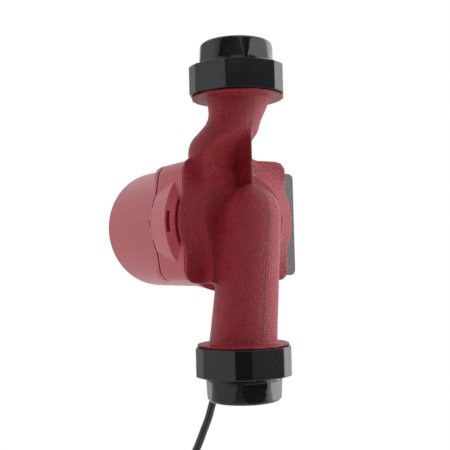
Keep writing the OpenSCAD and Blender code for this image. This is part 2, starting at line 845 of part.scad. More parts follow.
module box_screws() {
    seat = sqrt(pow(barrel_r + box_wall, 2) - pow(box_screw_z - box_screw_head_r, 2)) + seat_gap;
    start = sqrt(pow(barrel_inner_r, 2) - pow(box_screw_z - box_screw_r, 2));
    color([0.72, 0.73, 0.74]) along_motor() for (z = [-1, 1]) rotate([0, -90, 0])
        translate([box_screw_u, z * box_screw_z, 0]) {
            translate([0, 0, start])
                cylinder(r = box_screw_r - seat_gap / 2, h = seat - start + box_screw_head_h / 2);
            translate([0, 0, seat]) cylinder(r = box_screw_head_r, h = box_screw_head_h);
        }
}

module box_gasket() {
    color([0.14, 0.14, 0.14]) along_motor() translate([0, 0, box_front_u]) difference() {
        linear_extrude(box_gasket_t) box_outline(seat_gap);
        translate([0, 0, -cut]) linear_extrude(box_gasket_t * 2) box_outline(box_wall);
        cylinder(r = barrel_r, h = barrel_front_u);
        at_cover_screws() cylinder(r = box_screw_r + seat_gap, h = cover_front_u);
    }
}

module terminal_cover() {
    color([0.16, 0.16, 0.17]) along_motor() difference() {
        translate([0, 0, cover_u]) linear_extrude(cover_depth) box_outline(0);
        translate([0, 0, cover_u - cut]) linear_extrude(cover_depth - box_wall + cut) difference() {
            box_outline(box_wall);
            at_cover_screws() circle(r = box_boss_r);
        }
        cylinder(r = barrel_r + face_gap, h = cover_front_u + cut);
        translate([-gland_side, knob_z, cover_u])
            cylinder(r = knob_stem_r + running_gap, h = cover_depth + cut);
        at_cover_screws() translate([0, 0, cover_u - cut]) {
            cylinder(r = box_screw_r + seat_gap, h = cover_depth + cut + cut);
            translate([0, 0, cover_depth - box_screw_head_h + cut])
                cylinder(r = box_screw_head_r + seat_gap, h = box_wall);
        }
    }
}

module cover_screws() {
    color([0.72, 0.73, 0.74]) along_motor() at_cover_screws() {
            translate([0, 0, cover_front_u - box_screw_head_h]) difference() {
                cylinder(r = box_screw_head_r, h = box_screw_head_h - seat_gap);
                translate([-box_screw_head_r, -vent_slot_w / 4, box_screw_head_h / 2])
                    cube([box_screw_head_r * 2, vent_slot_w / 2, box_screw_head_h]);
            }
            translate([0, 0, box_front_u - cover_depth])
                cylinder(r = box_screw_r - seat_gap / 2,
                    h = cover_front_u - box_screw_head_h - box_front_u + cover_depth);
        }
}

module speed_switch() {
    back_u = cover_front_u - box_wall - switch_len;
    color([0.1, 0.1, 0.11]) along_motor() difference() {
        translate([-gland_side - switch_w / 2, knob_z - switch_h / 2, back_u])
            cube([switch_w, switch_h, switch_len]);
        translate([-gland_side, knob_z, back_u + switch_len / 2])
            cylinder(r = knob_stem_r + running_gap, h = switch_len);
    }
}

module speed_knob() {
    back_u = cover_front_u - box_wall - switch_len / 2 + running_gap;
    color([0.75, 0.76, 0.77]) along_motor() translate([-gland_side, knob_z, 0]) {
        translate([0, 0, back_u]) cylinder(r = knob_stem_r, h = cover_front_u - back_u + face_gap);
        translate([0, 0, cover_front_u + face_gap]) difference() {
            cylinder(r = knob_r, h = knob_h);
            for (x = [-1, 1]) translate([x * (knob_web / 2 + knob_r), 0, knob_h])
                cube([knob_r * 2, knob_r * 4, knob_h], center = true);
        }
    }
}

module terminal_block() {
    color([0.85, 0.84, 0.8]) along_motor()
        translate([-box_side + box_wall + seat_gap, -post_clear_z, duct_u - block_len])
        difference() {
            cube([block_len, block_h, block_w]);
            for (i = [1 : 3]) translate([block_len - box_screw_r, i * block_h / 4, block_w / 2])
                rotate([0, 90, 0]) cylinder(r = box_screw_r, h = block_len);
        }
}

module capacitor() {
    color([0.78, 0.78, 0.8]) along_motor()
        translate([-box_side + box_wall + seat_gap + capacitor_r, post_clear_z, capacitor_u])
        rotate([90, 0, 0]) cylinder(r = capacitor_r, h = capacitor_len);
}

module wire_grommet() {
    start = barrel_inner_r + grommet_lip;
    color([0.08, 0.08, 0.08]) along_motor() rotate([0, -90, 0]) translate([duct_u, 0, start])
        tube(duct_r - seat_gap, duct_r - grommet_lip, barrel_r + box_wall - start);
}

// CORD ENTRY AND PLUG

module at_gland(z) translate([-gland_side, -gland_u, z]) children();

module gland_body() {
    color([0.15, 0.15, 0.16]) at_gland(gland_z - gland_hex_h) difference() {
        union() {
            cylinder(r = gland_hex_r, h = gland_hex_h, $fn = 6);
            cylinder(r = gland_thread_r - seat_gap, h = gland_hex_h + gland_in);
            translate([0, 0, -gland_nut_h / 2]) cylinder(r = gland_thread_r - seat_gap, h = gland_nut_h);
        }
        translate([0, 0, -gland_nut_h]) cylinder(r = gland_bore_r + face_gap, h = gland_nut_h * 3);
        translate([0, 0, -gland_nut_h / 2 - cut])
            cylinder(r = gland_thread_r - tie_t, h = gland_nut_h / 2 + cut);
    }
}

module gland_seal() {
    color([0.05, 0.05, 0.05]) at_gland(gland_z - gland_hex_h - gland_nut_h / 2)
        tube(gland_thread_r - tie_t - seat_gap, gland_bore_r, gland_nut_h / 2);
}

module gland_nut() {
    color([0.15, 0.15, 0.16]) at_gland(relief_z) difference() {
        cylinder(r = gland_nut_r, h = gland_nut_h - seat_gap);
        translate([0, 0, gland_nut_h / 2 - seat_gap]) cylinder(r = gland_thread_r, h = gland_nut_h);
        translate([0, 0, -cut]) cylinder(r = gland_bore_r + face_gap, h = gland_nut_h);
    }
}

module strain_relief() {
    color([0.07, 0.07, 0.07]) at_gland(relief_z - relief_len) difference() {
        cylinder(r1 = relief_end_r, r2 = relief_base_r, h = relief_len);
        translate([0, 0, -cut]) cylinder(r = gland_bore_r, h = relief_len + 2 * cut);
    }
}

// UNIONS

module union_gasket() {
    color([0.1, 0.1, 0.1]) translate([0, 0, port_z]) tube(tail_flange_r, port_bore_r, union_gasket_t);
}

module nut_outline() {
    polygon([for (k = [0 : 5]) for (side = [-1, 1])
        let (a = 60 * k + 30 + side * nut_face_angle / 2) nut_corner_r * [cos(a), sin(a)]]);
}

module union_nut(turn) {
    color([0.09, 0.09, 0.1]) translate([0, 0, nut_z]) difference() {
        intersection() {
            linear_extrude(nut_len) rotate(turn) nut_outline();
            rotate_extrude() polygon([[0, 0], [nut_corner_r - nut_chamfer, 0], [nut_corner_r,
                nut_chamfer / 2],
                                      [nut_corner_r, nut_len - nut_chamfer / 2],
                                          [nut_corner_r - nut_chamfer, nut_len],
                                      [0, nut_len]]);
        }
        translate([0, 0, -cut]) cylinder(r = port_thread_r + thread_gap, h = lip_z - nut_z + cut);
        cylinder(r = lip_r, h = nut_len + cut);
    }
}

module union_tail(turn) {
    shoulder_z = nut_end_z + tail_shoulder_gap;
    thread_z = tail_end_z - pipe_thread_len;
    color([0.1, 0.1, 0.11]) difference() {
        rotate_extrude() polygon([[0, tail_z], [tail_flange_r, tail_z], [tail_flange_r, snap_z],
                                  [snap_groove_r, snap_z], [snap_groove_r, lip_z], [tail_flange_r, lip_z],
                                  [tail_flange_r, shoulder_z], [tail_base_r, shoulder_z],
                                  [tail_end_r, tail_end_z - tail_rim_r], [tail_end_r - tail_rim_r,
                                      tail_end_z],
                                  [0, tail_end_z]]);
        translate([0, 0, tail_z - cut]) cylinder(r = tail_bore_r, h = tail_end_z);
        translate([0, 0, thread_z]) cylinder(r = pipe_thread_r, h = pipe_thread_len + cut);
        for (i = [0 : tail_flat_count - 1]) rotate(turn + 360 * i / tail_flat_count)
            translate([tail_flat_r, -tail_base_r / 2, shoulder_z + tail_band])
            cube([tail_base_r, tail_base_r, tail_out]);
    }
}

module union_snap_ring() {
    color([0.75, 0.75, 0.76]) translate([0, 0, snap_z]) difference() {
        tube(snap_outer_r, snap_groove_r + seat_gap / 2, snap_t - seat_gap / 2);
        translate([0, -tail_rim_r, -cut]) cube([port_thread_r, tail_rim_r * 2, snap_t + cut * 2]);
    }
}

module discharge_side() on_pipe() children();

module suction_side() on_pipe() mirror([0, 0, 1]) children();

module discharge_gasket() discharge_side() union_gasket();

module discharge_tail() discharge_side() union_tail(discharge_flat_turn);

module discharge_snap_ring() discharge_side() union_snap_ring();

module discharge_nut() discharge_side() union_nut(discharge_nut_turn);

module suction_gasket() suction_side() union_gasket();

module suction_tail() suction_side() union_tail(suction_flat_turn);

module suction_snap_ring() suction_side() union_snap_ring();

module suction_nut() suction_side() union_nut(suction_nut_turn);

// CORD

// A point of the cord's upright plane, with a shift square to it
function cord_point(out, height, shift) =
    [-gland_side + out * cos(cord_heading) - shift * sin(cord_heading),
     -gland_u + out * sin(cord_heading) + shift * cos(cord_heading), height];

cord_side = cord_point(0, 0, 1) - cord_point(0, 0, 0);
coil_outer_r = coil_inner_r + coil_pitch * coil_turns / 2;
lead_end = lead_route[len(lead_route) - 1];
end_dir = [sin(lead_end_lean), -cos(lead_end_lean)];
coil_start = lead_end + cord_d * end_dir;
coil_middle = coil_start - coil_outer_r * [cos(lead_end_lean), sin(lead_end_lean)];
coil_layer = coil_pitch;

// The spiral runs in, climbs a layer while it turns back, and runs out
function coil_radius(turn) = coil_inner_r + coil_pitch * abs(turn - coil_turns / 2);

function coil_shift(turn) =
    let (t = (turn - coil_turns / 2) / climb_share + 0.5)
    -coil_layer * (t <= 0 ? 0 : t >= 1 ? 1 : (1 - cos(180 * t)) / 2);

function coil_point(turn) =
    let (a = lead_end_lean - 360 * turn, r = coil_radius(turn))
    cord_point(coil_middle[0] + r * cos(a), coil_middle[1] + r * sin(a), coil_shift(turn));

coil_exit = coil_start + cord_d * end_dir;
coil_path = concat([cord_point(lead_end[0], lead_end[1], 0)],
    [for (i = [0 : coil_turns * coil_steps]) coil_point(i / coil_steps)],
    [cord_point(coil_exit[0], coil_exit[1], -coil_layer)]);

// Least clear gap between stretches of the coil half a turn or more apart
coil_gap = min([for (i = [0 : len(coil_path) - 1]) for (j = [i + coil_steps / 2 : len(coil_path) - 1])
    norm(coil_path[i] - coil_path[j])]) - cord_d;
echo(coil_gap = coil_gap);

module cord_tube(path, sides, r) skin(path_rings(path, [for (p = path) r], sides, cord_side));

lead_path = concat([cord_point(lead_route[0][0], relief_z - relief_len, 0)],
    [for (p = lead_route) if (p[1] < relief_z - relief_len - cord_d / 2) cord_point(p[0], p[1], 0)]);

end_path = [for (p = concat([coil_exit], end_route)) cord_point(p[0], p[1], -coil_layer)];

module cord_lead() color([0.07, 0.07, 0.08]) cord_tube(lead_path, cord_sides, cord_d / 2);

module cord_coil() color([0.07, 0.07, 0.08]) cord_tube(coil_path, coil_sides, cord_d / 2);

module cord_end() color([0.07, 0.07, 0.08]) cord_tube(end_path, cord_sides, cord_d / 2);

module cord_tie() {
    // Half a turn from the coil's start, where both layers lie level
    mid_r = coil_inner_r + coil_pitch * coil_turns / 4;
    hole_r = coil_pitch * (coil_turns / 2 - 1) + cord_d + face_gap * 2;
    hole_h = coil_layer + cord_d + face_gap * 2;
    angle = lead_end_lean - 180;
    at = cord_point(coil_middle[0] + mid_r * cos(angle), coil_middle[1] + mid_r * sin(angle),
        -coil_layer / 2);
    color([0.12, 0.12, 0.12]) translate(at) rotate([0, 0, cord_heading]) rotate([0, -angle, 0])
        difference() {
        cube([hole_r + tie_t * 2, hole_h + tie_t * 2, tie_w], center = true);
        cube([hole_r, hole_h, tie_w * 2], center = true);
    }
}

// The plug hangs from the end of the cord, its z pointing down the pins
end_last = end_route[len(end_route) - 1];
module at_plug(down) translate(cord_point(end_last[0], end_last[1], -coil_layer))
    rotate([180, 0, cord_heading])
    translate([0, 0, down]) children();

module plug_relief() {
    color([0.06, 0.06, 0.06]) at_plug(0)
        cylinder(r1 = plug_relief_end_r, r2 = plug_relief_base_r, h = plug_relief_len);
}

module plug_body() {
    color([0.08, 0.08, 0.09]) at_plug(plug_relief_len) difference() {
        union() {
            cylinder(r1 = plug_r * 2 / 3, r2 = plug_r, h = plug_len / 2);
            translate([0, 0, plug_len / 2]) cylinder(r = plug_r, h = plug_len / 2);
        }
        for (y = [-1, 1]) translate([-plug_clip_w / 2, y * plug_r - plug_clip_t * 2,
            plug_len - plug_clip_len])
            cube([plug_clip_w, plug_clip_t * 4, plug_clip_len + cut]);
    }
}

module plug_pins() {
    color([0.8, 0.8, 0.82]) at_plug(plug_relief_len + plug_len) for (x = [-1, 1])
        translate([x * plug_pin_gap, 0, 0]) {
        cylinder(r = plug_pin_r, h = plug_pin_len - plug_pin_r);
        translate([0, 0, plug_pin_len - plug_pin_r])
            cylinder(r1 = plug_pin_r, r2 = plug_pin_r / 2, h = plug_pin_r);
    }
}

module plug_earth_clips() {
    color([0.8, 0.8, 0.82]) at_plug(plug_relief_len + plug_len - plug_clip_len) for (y = [-1, 1])
        translate([-plug_clip_w / 2 + seat_gap, y * (plug_r - plug_clip_t * 3 / 2) - plug_clip_t / 2, 0])
        cube([plug_clip_w - seat_gap * 2, plug_clip_t, plug_clip_len]);
}

pump_housing();
wear_ring();
impeller();
shaft();
rotor_core();
rotor_end_rings();
thrust_bearing();
inner_bearing();
front_bearing();
bearing_plate();
housing_gasket();
rotor_can();
stator_housing();
stator_core();
stator_windings();
housing_screws();
nameplate();
vent_screw();
vent_seal();
terminal_box();
box_screws();
box_gasket();
terminal_cover();
cover_screws();
speed_switch();
speed_knob();
terminal_block();
capacitor();
wire_grommet();
gland_body();
gland_seal();
gland_nut();
strain_relief();
suction_gasket();
suction_tail();
suction_snap_ring();
suction_nut();
discharge_gasket();
discharge_tail();
discharge_snap_ring();
discharge_nut();
cord_lead();
cord_coil();
cord_end();
cord_tie();
plug_relief();
plug_body();
plug_pins();
plug_earth_clips();
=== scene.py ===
"""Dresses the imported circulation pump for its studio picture.

Every size is in metres in the row frame: +Z runs up the pipe, -Y runs out along
the motor, and the terminal box is on the -X side.
"""

from __future__ import annotations

import logging
import math
from dataclasses import dataclass
from enum import Enum
from typing import Optional, Sequence

import bmesh
import bpy
import numpy as np
from mathutils import Matrix, Vector


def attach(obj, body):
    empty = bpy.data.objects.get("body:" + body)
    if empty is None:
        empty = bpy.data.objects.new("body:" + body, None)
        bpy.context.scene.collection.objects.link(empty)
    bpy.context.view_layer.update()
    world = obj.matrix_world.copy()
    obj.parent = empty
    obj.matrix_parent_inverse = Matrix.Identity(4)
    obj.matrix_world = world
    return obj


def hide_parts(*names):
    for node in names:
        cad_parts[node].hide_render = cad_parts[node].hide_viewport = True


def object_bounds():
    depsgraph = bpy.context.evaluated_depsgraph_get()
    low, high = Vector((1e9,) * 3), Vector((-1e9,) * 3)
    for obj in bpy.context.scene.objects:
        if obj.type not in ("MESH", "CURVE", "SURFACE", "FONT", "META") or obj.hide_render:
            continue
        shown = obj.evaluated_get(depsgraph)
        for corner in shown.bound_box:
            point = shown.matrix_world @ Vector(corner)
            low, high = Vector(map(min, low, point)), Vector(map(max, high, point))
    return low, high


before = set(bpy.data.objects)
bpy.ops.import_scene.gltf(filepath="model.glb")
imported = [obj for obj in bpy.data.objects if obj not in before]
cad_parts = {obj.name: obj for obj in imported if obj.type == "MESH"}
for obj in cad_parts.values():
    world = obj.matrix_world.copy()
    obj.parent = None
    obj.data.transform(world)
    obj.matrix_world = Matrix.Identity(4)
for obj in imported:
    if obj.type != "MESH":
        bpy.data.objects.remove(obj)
CAD_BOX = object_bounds()

log = logging.getLogger("pump")
MM = 0.001
MOTOR_Z = 112.3 * MM

Pair = tuple[float, float]
Point = tuple[float, float, float]
Colour = tuple[float, float, float]

# The knob's axis, how far from it the stem reaches, and the share of its width that is kept.
KNOB_AXIS: Point = (-55.0 * MM, -111.0 * MM, 128.3 * MM)
STEM_REACH = 3.3 * MM
STEM_SHARE = 0.94

# Painted shade along the casting's parting seam: a dark line coloured in where the seam's ridge would
# shade.
# Its width and its dark core's share of that, the depth from which it shows, and its painted shade colour.
# Noise breaks it up: features to the metre, the strength left where it is faintest, and the levels between
# which it goes from there to full.
SEAM_WIDTH = 0.7 * MM
SEAM_CORE = 0.4
SEAM_FROM = 7.0 * MM
SEAM_PAINTED_SHADE: Colour = (0.045, 0.003, 0.006)
SEAM_BREAKS = 210.0
SEAM_FAINTEST = 0.6
SEAM_LEVELS: Pair = (0.4, 0.55)

# Patches of colour: this many features in the width of this many grains.
PATCHES = 9.0
PATCH_GRAINS = 60

# The fine grain on the main one: how many times finer, and its share of the height.
FINE_GRAINS = 4.0
FINE_SHARE = 0.25

# Roughness of a clear coat, as a share of the finish's smoothest.
COAT_SHARE = 0.6

# The coarse grain of a casting: strength of its finer octaves, and its lowest and highest level.
CAST_ROUGH = 0.62
CAST_LEVELS: Pair = (0.32, 0.6)

# Sockets of the colour mixing node, whose names are shared by its other kinds.
MIX_FIRST, MIX_SECOND, MIX_RESULT = 6, 7, 2

# Corners nearer than this are joined, and so are faces that turn by fewer degrees.
LOOSE_DISTANCE = 0.002 * MM
FLAT_TURN = 0.5

# Edges that turn by more degrees than this are rounded, with this many strips.
KEEN_TURN = 28.0
ROUNDING_STRIPS = 2

# Edges that turn by fewer degrees are shaded smooth, on rounded pieces and on ribs.
ROUND_BELOW = 50.0
RIBS_BELOW = 30.0

# Strips round a turned piece.
TURNED_STRIPS = 48


class Texture(Enum):
    """The grain that a finish shows up close."""

    CAST = "cast"
    ENAMEL = "enamel"
    MOULDED = "moulded"
    TURNED = "turned"
    SHEET = "sheet"
    RUBBER = "rubber"
    WOUND = "wound"
    SHEATH = "sheath"


# Grains that run one way: octaves, strength of the finer ones, and the scale along each axis.
DRAWN_GRAINS: dict[Texture, tuple[float, float, Point]] = {
    Texture.TURNED: (2.0, 0.5, (1.0, 0.04, 1.0)),
    Texture.SHEET: (2.0, 0.5, (0.05, 3.0, 0.05)),
    Texture.WOUND: (1.0, 0.4, (1.0, 0.15, 1.0)),
}


class Bench:
    """A work bench for one node material, with short calls for its nodes."""

    def __init__(self, name: str) -> None:
        """Starts an empty material with a Principled shader.

        Args:
            name: The material's name.
        """
        self.material = bpy.data.materials.new(name)
        self.material.use_nodes = True
        self.tree = self.material.node_tree
        self.tree.nodes.clear()
        self.output = self.tree.nodes.new("ShaderNodeOutputMaterial")
        self.shader = self.tree.nodes.new("ShaderNodeBsdfPrincipled")
        self.wire(self.shader.outputs["BSDF"], self.output.inputs["Surface"])
        self.places = self.tree.nodes.new("ShaderNodeTexCoord").outputs["Object"]

    def wire(self, source: bpy.types.NodeSocket, target: bpy.types.NodeSocket) -> None:
        """Joins two sockets."""
        self.tree.links.new(source, target)

    def stretched(self, scale: Sequence[float]) -> bpy.types.NodeSocket:
        """Object coordinates, scaled along each axis.

        Args:
            scale: The factor along X, Y and Z.

        Returns:
            The Mapping node's vector.
        """
        mapping = self.tree.nodes.new("ShaderNodeMapping")
        mapping.inputs["Scale"].default_value = scale
        self.wire(self.places, mapping.inputs["Vector"])
        return mapping.outputs["Vector"]

    def noise(self, scale: float, detail: float = 3.0, rough: float = 0.5,
              places: Optional[bpy.types.NodeSocket] = None) -> bpy.types.NodeSocket:
        """A noise pattern on Object coordinates.

        Args:
            scale: Features to the metre.
            detail: Octaves.
            rough: How strong the finer octaves are.
            places: Coordinates to use in place of the plain ones.

        Returns:
            The noise value.
        """
        node = self.tree.nodes.new("ShaderNodeTexNoise")
        node.inputs["Scale"].default_value = scale
        node.inputs["Detail"].default_value = detail
        node.inputs["Roughness"].default_value = rough
        self.wire(places or self.places, node.inputs["Vector"])
        return node.outputs["Fac"]

    def ranged(self, value: bpy.types.NodeSocket, low: float, high: float,
               start: float = 0.3, end: float = 0.7) -> bpy.types.NodeSocket:
        """Maps a value from one range to another, clamped.

        Args:
            value: The value to map.
            low: What the start maps to.
            high: What the end maps to.
            start: Where the first range starts.
            end: Where the first range ends.

        Returns:
            The mapped value.
        """
        node = self.tree.nodes.new("ShaderNodeMapRange")
        node.inputs["From Min"].default_value = start
        node.inputs["From Max"].default_value = end
        node.inputs["To Min"].default_value = low
        node.inputs["To Max"].default_value = high
        self.wire(value, node.inputs["Value"])
        return node.outputs["Result"]

    def blend(self, value: bpy.types.NodeSocket, first: Colour | bpy.types.NodeSocket,
              second: Colour) -> bpy.types.NodeSocket:
        """A colour between two, by a value.

        Args:
            value: 0 for the first colour, 1 for the second.
            first: Linear colour, or a pattern of colours.
            second: Linear colour.

        Returns:
            The mixed colour.
        """
        node = self.tree.nodes.new("ShaderNodeMix")
        node.data_type = "RGBA"
        if isinstance(first, tuple):
            node.inputs[MIX_FIRST].default_value = (*first, 1.0)
        else:
            self.wire(first, node.inputs[MIX_FIRST])
        node.inputs[MIX_SECOND].default_value = (*second, 1.0)
        self.wire(value, node.inputs[0])
        return node.outputs[MIX_RESULT]

    def arithmetic(self, kind: str, *values: bpy.types.NodeSocket) -> bpy.types.NodeSocket:
        """One step of arithmetic.

        Args:
            kind: The operation's name.
            values: What it works on.

        Returns:
            The result.
        """
        node = self.tree.nodes.new("ShaderNodeMath")
        node.operation = kind
        for value, socket in zip(values, node.inputs):
            self.wire(value, socket)
        return node.outputs["Value"]

    def painted_seam_shade(self) -> bpy.types.NodeSocket:
        """Painted shade: a dark line along the seam that the mould's two halves leave in the plane through
        both ports.

        Returns:
            1 on the line, 0 away from it, broken up along its length.
        """
        axes = self.tree.nodes.new("ShaderNodeSeparateXYZ")
        self.wire(self.places, axes.inputs["Vector"])
        away = self.arithmetic("ABSOLUTE", axes.outputs["X"])
        line = self.ranged(away, 1.0, 0.0, SEAM_WIDTH * SEAM_CORE, SEAM_WIDTH)
        behind = self.ranged(axes.outputs["Y"], 0.0, 1.0, SEAM_FROM, SEAM_FROM + SEAM_WIDTH)
        broken = self.ranged(self.noise(SEAM_BREAKS, 2.0), SEAM_FAINTEST, 1.0, *SEAM_LEVELS)
        return self.arithmetic("MULTIPLY", self.arithmetic("MULTIPLY", line, behind), broken)

    def bump(self, height: bpy.types.NodeSocket, depth: float,
             over: Optional[bpy.types.NodeSocket] = None) -> bpy.types.NodeSocket:
        """Raises the surface by a height pattern.

        Args:
            height: The pattern, from 0 to 1.
            depth: The height of its peaks, in metres.
            over: The normal of another bump that this one lies on.

        Returns:
            The bumped normal.
        """
        node = self.tree.nodes.new("ShaderNodeBump")
        node.inputs["Distance"].default_value = depth
        node.inputs["Strength"].default_value = 1.0
        self.wire(height, node.inputs["Height"])
        if over is not None:
            self.wire(over, node.inputs["Normal"])
        return node.outputs["Normal"]

    def settle(self, **values: float | Sequence[float]) -> None:
        """Sets the shader's own sockets, with spaces written as underscores."""
        for name, value in values.items():
            self.shader.inputs[name.replace("_", " ")].default_value = value

    def feed(self, name: str, source: bpy.types.NodeSocket) -> None:
        """Wires a pattern into one of the shader's sockets."""
        self.wire(source, self.shader.inputs[name])


@dataclass(frozen=True)
class Finish:
    """A surface finish, made into a node material once and then reused.

    Attributes:
        name: The material's name.
        colour: Main colour, linear.
        shade: The colour of its darker patches.
        texture: The grain it shows.
        gloss: Roughness where it is smoothest.
        dull: Roughness where it is dullest.
        metal: 1 for bare metal.
        coat: Weight of a clear coat.
        shine: How much a face seen square on mirrors, 0.5 for plain plastic.
        grain: Size of the grain, in metres.
        relief: Height of the grain, in metres.
    """

    name: str
    colour: Colour
    shade: Colour
    texture: Texture = Texture.MOULDED
    gloss: float = 0.35
    dull: float = 0.5
    metal: float = 0.0
    coat: float = 0.0
    shine: float = 0.5
    grain: float = 1.0 * MM
    relief: float = 0.02 * MM

    def material(self) -> bpy.types.Material:
        """The finish as a material, made at its first use."""
        known = bpy.data.materials.get(self.name)
        return known if known is not None else self._mix()

    def _mix(self) -> bpy.types.Material:
        """Builds the node material.

        Returns:
            The new material.
        """
        bench = Bench(self.name)
        bench.settle(Metallic=self.metal, Specular_IOR_Level=self.shine,
                     Coat_Weight=self.coat, Coat_Roughness=self.gloss * COAT_SHARE)
        patches = bench.noise(PATCHES / (self.grain * PATCH_GRAINS), 2.0)
        grain = self._grain(bench)
        colour = bench.blend(bench.ranged(patches, 0.0, 1.0), self.colour, self.shade)
        if self.texture is Texture.CAST:
            # Painted shade: the cast finish gets a dark line along its parting seam.
            colour = bench.blend(bench.painted_seam_shade(), colour, SEAM_PAINTED_SHADE)
        bench.feed("Base Color", colour)
        bench.feed("Roughness", bench.ranged(grain, self.gloss, self.dull))
        fine = bench.noise(FINE_GRAINS / self.grain, 2.0)
        lower = bench.bump(fine, self.relief * FINE_SHARE)
        bench.feed("Normal", bench.bump(grain, self.relief, lower))
        return bench.material

    def _grain(self, bench: Bench) -> bpy.types.NodeSocket:
        """The main pattern of the finish.

        Args:
            bench: The material that it goes into.

        Returns:
            Its height, from 0 to 1.
        """
        scale = 1.0 / self.grain
        if self.texture is Texture.CAST:
            return bench.ranged(bench.noise(scale, rough=CAST_ROUGH), 0.0, 1.0, *CAST_LEVELS)
        if self.texture in DRAWN_GRAINS:
            detail, rough, along = DRAWN_GRAINS[self.texture]
            return bench.noise(scale, detail, rough, bench.stretched(along))
        return bench.noise(scale)


CAST_RED = Finish("cast_red_enamel", (0.35, 0.003, 0.016), (0.31, 0.002, 0.013), Texture.CAST,
                  0.26, 0.46, shine=0.45, grain=1.0 * MM, relief=0.5 * MM)
SATIN_RED = Finish("satin_red_enamel", (0.37, 0.009, 0.028), (0.35, 0.008, 0.025), Texture.ENAMEL,
                   0.38, 0.44, coat=0.2, grain=2.4 * MM, relief=0.012 * MM)
GLOSS_BLACK = Finish("gloss_black_enamel", (0.012, 0.012, 0.014), (0.008, 0.008, 0.009), Texture.ENAMEL,
                     0.16, 0.22, shine=0.3, grain=3.0 * MM, relief=0.03 * MM)
BOX_BLACK = Finish("box_moulding", (0.1, 0.102, 0.1), (0.088, 0.09, 0.088), Texture.MOULDED,
                   0.42, 0.55, grain=0.7 * MM, relief=0.02 * MM)
GLAND_BLACK = Finish("gland_moulding", (0.015, 0.015, 0.017), (0.011, 0.011, 0.012), Texture.MOULDED,
                     0.34, 0.46, grain=0.8 * MM, relief=0.015 * MM)
KNOB_GREY = Finish("knob_moulding", (0.42, 0.43, 0.45), (0.36, 0.37, 0.39), Texture.MOULDED,
                   0.38, 0.5, grain=0.8 * MM, relief=0.015 * MM)
BLOCK_WHITE = Finish("terminal_moulding", (0.72, 0.7, 0.64), (0.64, 0.62, 0.56), Texture.MOULDED,
                     0.35, 0.48, grain=0.9 * MM, relief=0.012 * MM)
IMPELLER_GREY = Finish("impeller_moulding", (0.6, 0.6, 0.55), (0.52, 0.52, 0.47), Texture.MOULDED,
                       0.4, 0.55, grain=0.9 * MM, relief=0.015 * MM)
SEAL_BLACK = Finish("seal_rubber", (0.018, 0.018, 0.018), (0.012, 0.012, 0.012), Texture.RUBBER,
                    0.6, 0.75, grain=0.8 * MM, relief=0.03 * MM)
SHEATH_BLACK = Finish("sheath_rubber", (0.014, 0.014, 0.016), (0.01, 0.01, 0.011), Texture.SHEATH,
                      0.38, 0.5, grain=0.9 * MM, relief=0.02 * MM)
PLUG_BLACK = Finish("plug_moulding", (0.016, 0.016, 0.018), (0.012, 0.012, 0.013), Texture.MOULDED,
                    0.3, 0.44, grain=0.7 * MM, relief=0.02 * MM)
BRIGHT_STEEL = Finish("bright_steel", (0.62, 0.63, 0.64), (0.52, 0.53, 0.54), Texture.TURNED,
                      0.24, 0.38, metal=1.0, grain=0.5 * MM, relief=0.008 * MM)
DRAWN_STEEL = Finish("drawn_steel", (0.58, 0.59, 0.6), (0.5, 0.51, 0.52), Texture.TURNED,
                     0.28, 0.42, metal=1.0, grain=0.4 * MM, relief=0.006 * MM)
CORE_SHEETS = Finish("core_sheets", (0.2, 0.2, 0.21), (0.12, 0.12, 0.13), Texture.SHEET,
                     0.4, 0.6, metal=1.0, grain=0.5 * MM, relief=0.06 * MM)
SATIN_ALUMINIUM = Finish("satin_aluminium", (0.62, 0.63, 0.65), (0.55, 0.56, 0.58), Texture.TURNED,
                         0.3, 0.42, metal=1.0, grain=0.4 * MM, relief=0.006 * MM)
WARM_BRASS = Finish("warm_brass", (0.62, 0.42, 0.16), (0.5, 0.33, 0.12), Texture.TURNED,
                    0.22, 0.36, metal=1.0, grain=0.5 * MM, relief=0.008 * MM)
VARNISHED_WIRE = Finish("varnished_wire", (0.45, 0.16, 0.05), (0.3, 0.1, 0.03), Texture.WOUND,
                        0.25, 0.45, metal=0.6, grain=0.7 * MM, relief=0.2 * MM)
CERAMIC = Finish("polished_ceramic", (0.8, 0.77, 0.7), (0.74, 0.71, 0.64), Texture.ENAMEL,
                 0.12, 0.2, grain=0.8 * MM, relief=0.004 * MM)
CARBON = Finish("fine_carbon", (0.03, 0.03, 0.032), (0.02, 0.02, 0.021), Texture.MOULDED,
                0.35, 0.5, grain=0.5 * MM, relief=0.01 * MM)

